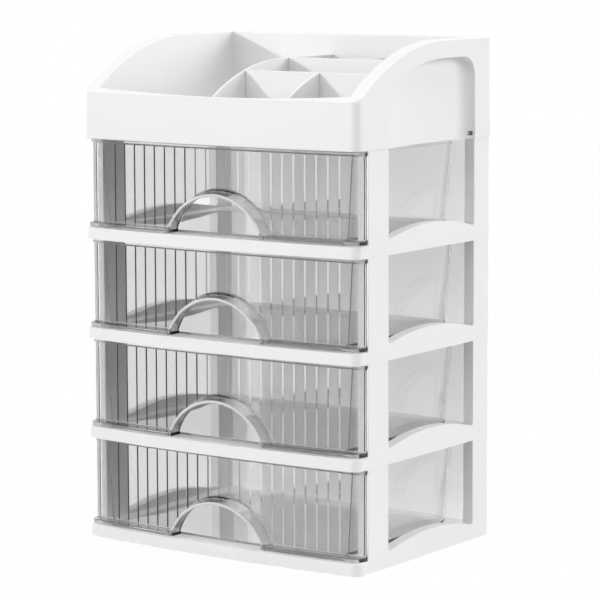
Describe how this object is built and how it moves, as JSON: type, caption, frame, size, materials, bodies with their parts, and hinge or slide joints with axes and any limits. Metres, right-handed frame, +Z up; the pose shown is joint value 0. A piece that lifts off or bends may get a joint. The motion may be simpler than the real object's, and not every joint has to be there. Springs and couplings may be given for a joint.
{
  "type": "desktop drawer tower",
  "caption": "Desktop tower of clear pull-out drawers in stacked white tiers, with a divided open tray on top for craft supplies.",
  "frame": {"origin": "centre of the bounding box in X and Y, on the face the tower stands on, with the drawers shut", "axes": "+Z up, -Y out of the drawer fronts (the way the drawers open), +X to the right as seen from the front"},
  "size_m": [0.246, 0.18, 0.3742],
  "materials": {
    "white_shell": "satin moulded",
    "white_divider": "satin moulded",
    "clear_tub": "clear, polished",
    "clear_front": "clear, fluted",
    "clear_pull": "clear, polished"
  },
  "bodies": {
    "tower": {"tier_1_shelf": "white_shell", "tier_1_left_wall": "white_shell", "tier_1_right_wall": "white_shell", "tier_1_back_panel": "white_shell", "tier_2_shelf": "white_shell", "tier_2_left_wall": "white_shell", "tier_2_right_wall": "white_shell", "tier_2_back_panel": "white_shell", "tier_3_shelf": "white_shell", "tier_3_left_wall": "white_shell", "tier_3_right_wall": "white_shell", "tier_3_back_panel": "white_shell", "tier_4_shelf": "white_shell", "tier_4_left_wall": "white_shell", "tier_4_right_wall": "white_shell", "tier_4_back_panel": "white_shell", "top_tray": "white_shell", "long_divider": "white_divider", "front_short_divider": "white_divider", "rear_short_divider": "white_divider", "front_cross_divider": "white_divider", "rear_cross_divider": "white_divider"},
    "drawer_1": {"drawer_1_tub": "clear_tub", "drawer_1_front": "clear_front", "drawer_1_pull": "clear_pull"},
    "drawer_2": {"drawer_2_tub": "clear_tub", "drawer_2_front": "clear_front", "drawer_2_pull": "clear_pull"},
    "drawer_3": {"drawer_3_tub": "clear_tub", "drawer_3_front": "clear_front", "drawer_3_pull": "clear_pull"},
    "drawer_4": {"drawer_4_tub": "clear_tub", "drawer_4_front": "clear_front", "drawer_4_pull": "clear_pull"}
  },
  "joints": [
    {"name": "drawer_1_slide", "type": "slide", "parent": "tower", "child": "drawer_1", "axis": [0, -1, 0], "range_m": [0, 0.12]},
    {"name": "drawer_2_slide", "type": "slide", "parent": "tower", "child": "drawer_2", "axis": [0, -1, 0], "range_m": [0, 0.12]},
    {"name": "drawer_3_slide", "type": "slide", "parent": "tower", "child": "drawer_3", "axis": [0, -1, 0], "range_m": [0, 0.12]},
    {"name": "drawer_4_slide", "type": "slide", "parent": "tower", "child": "drawer_4", "axis": [0, -1, 0], "range_m": [0, 0.12]}
  ]
}
